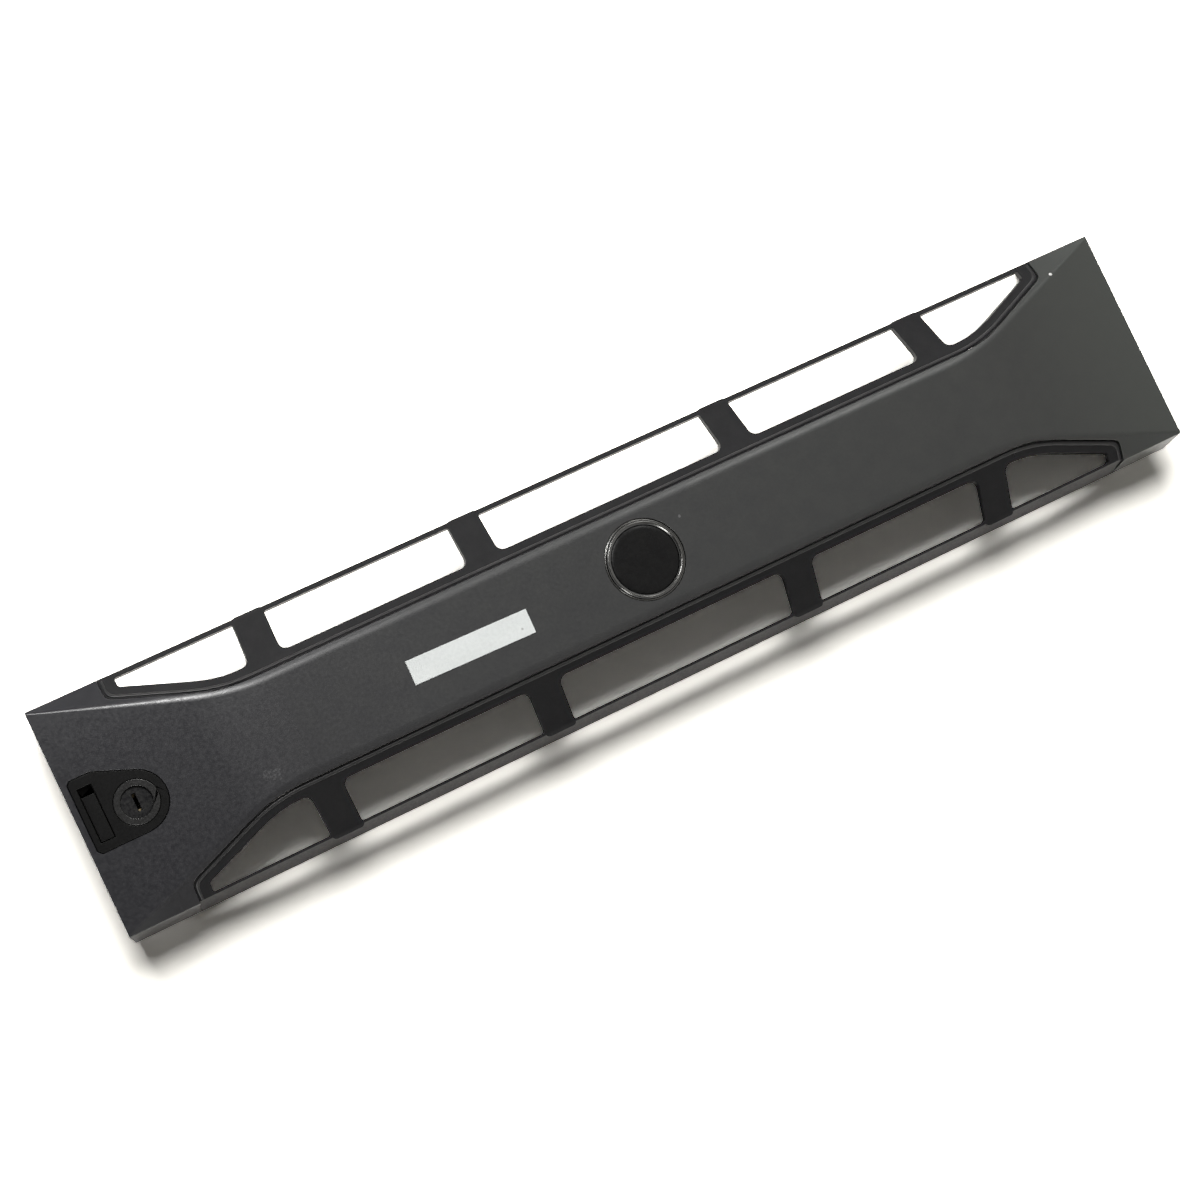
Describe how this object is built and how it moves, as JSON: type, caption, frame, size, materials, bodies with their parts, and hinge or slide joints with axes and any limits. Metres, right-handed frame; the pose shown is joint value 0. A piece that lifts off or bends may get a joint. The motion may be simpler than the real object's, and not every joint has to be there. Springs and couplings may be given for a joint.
{
  "type": "server front bezel",
  "caption": "Bow-tie shaped rack bezel with a raised band, ribbed air windows above and below it, a round badge, a label, a key lock and a sprung release slide.",
  "frame": {"origin": "centre of the rear plane on which the bezel lies", "axes": "+X along the width to the hooked end, +Y to the edge that is uppermost in the rack, +Z out of the front face"},
  "size_m": [0.444, 0.0886, 0.0377],
  "materials": {
    "charcoal_plastic": "fine satin texture",
    "black_plastic": "matte",
    "insert_black": "satin",
    "gloss_black": "gloss",
    "bright_metal": "polished",
    "white_paper": "matte",
    "plug_metal": "satin black",
    "brass": "plain",
    "zinc_steel": "zinc plated",
    "spring_steel": "bright wire"
  },
  "bodies": {
    "bezel": {"front_cover": "charcoal_plastic", "upper_grille": "black_plastic", "lower_grille": "black_plastic", "badge_ring": "bright_metal", "badge_disc": "gloss_black", "asset_label": "white_paper", "lock_escutcheon": "insert_black", "lock_barrel": "insert_black", "lock_nut": "brass", "latch_spring": "spring_steel", "latch_housing": "black_plastic", "housing_screws": "zinc_steel", "hook_bracket": "zinc_steel", "hook_screws": "zinc_steel", "grille_screws": "zinc_steel"},
    "release": {"release_slide": "black_plastic", "latch_bolt": "zinc_steel", "bolt_screw": "zinc_steel"},
    "plug": {"lock_plug": "plug_metal", "lock_wafers": "brass", "lock_cam": "zinc_steel", "cam_screw": "zinc_steel"}
  },
  "joints": [
    {"name": "latch_lift", "type": "slide", "parent": "bezel", "child": "release", "axis": [0, 1, 0], "range_m": [0, 0.003], "stiffness_N_per_m": 300, "springref_m": -0.004, "deforming": ["latch_spring"]},
    {"name": "key_turn", "type": "hinge", "parent": "bezel", "child": "plug", "pos_m": [-0.2005, -0.00035, 0.02], "axis": [0, 0, -1], "range_deg": [0, 90]}
  ]
}
